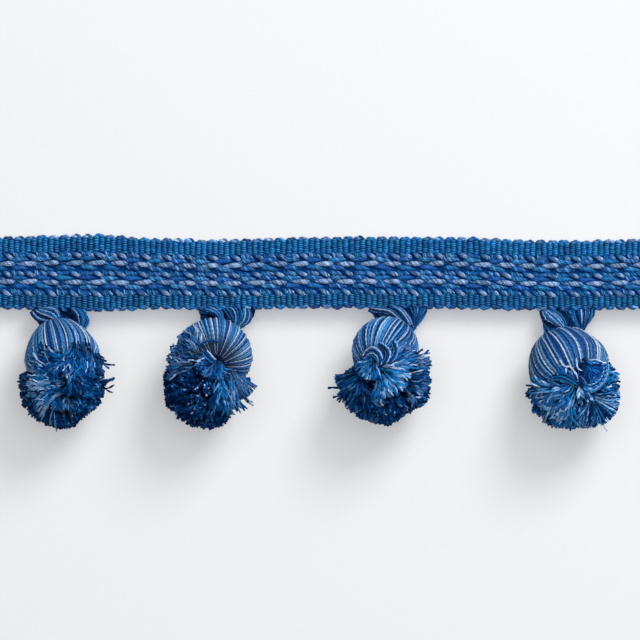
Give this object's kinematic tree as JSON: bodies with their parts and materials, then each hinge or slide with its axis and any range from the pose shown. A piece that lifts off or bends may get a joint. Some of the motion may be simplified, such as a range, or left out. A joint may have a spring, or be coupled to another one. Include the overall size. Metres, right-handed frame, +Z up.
{
  "type": "pompom fringe trim",
  "caption": "Length of furnishing trim: a ribbed woven heading with tassels hanging from its front edge, each a tied hank of yarn that ends in a pompom.",
  "frame": {"origin": "middle of the flat strip along the heading's back, which lies on the surface", "axes": "+X along the heading, +Z up out of the heading's face, -Y from the heading to the tassels"},
  "size_m": [0.204, 0.0594, 0.0253],
  "materials": {
    "heading_yarn": "warp-faced ribbed weave in mid and deep blue, with floats of pale blue yarn",
    "tassel_yarn": "plied yarn in deep, mid and pale blue, cut to a pile at the pompom",
    "loop_yarn": "plied yarn in deep and mid blue, loosely twisted",
    "tie_thread": "bright blue binding thread, wound tight"
  },
  "bodies": {
    "root": {"heading": "heading_yarn", "tassel_1": "tassel_yarn", "loop_1": "loop_yarn", "tie_1": "tie_thread", "tassel_2": "tassel_yarn", "loop_2": "loop_yarn", "tie_2": "tie_thread", "tassel_3": "tassel_yarn", "loop_3": "loop_yarn", "tie_3": "tie_thread", "tassel_4": "tassel_yarn", "loop_4": "loop_yarn", "tie_4": "tie_thread"}
  },
  "joints": []
}
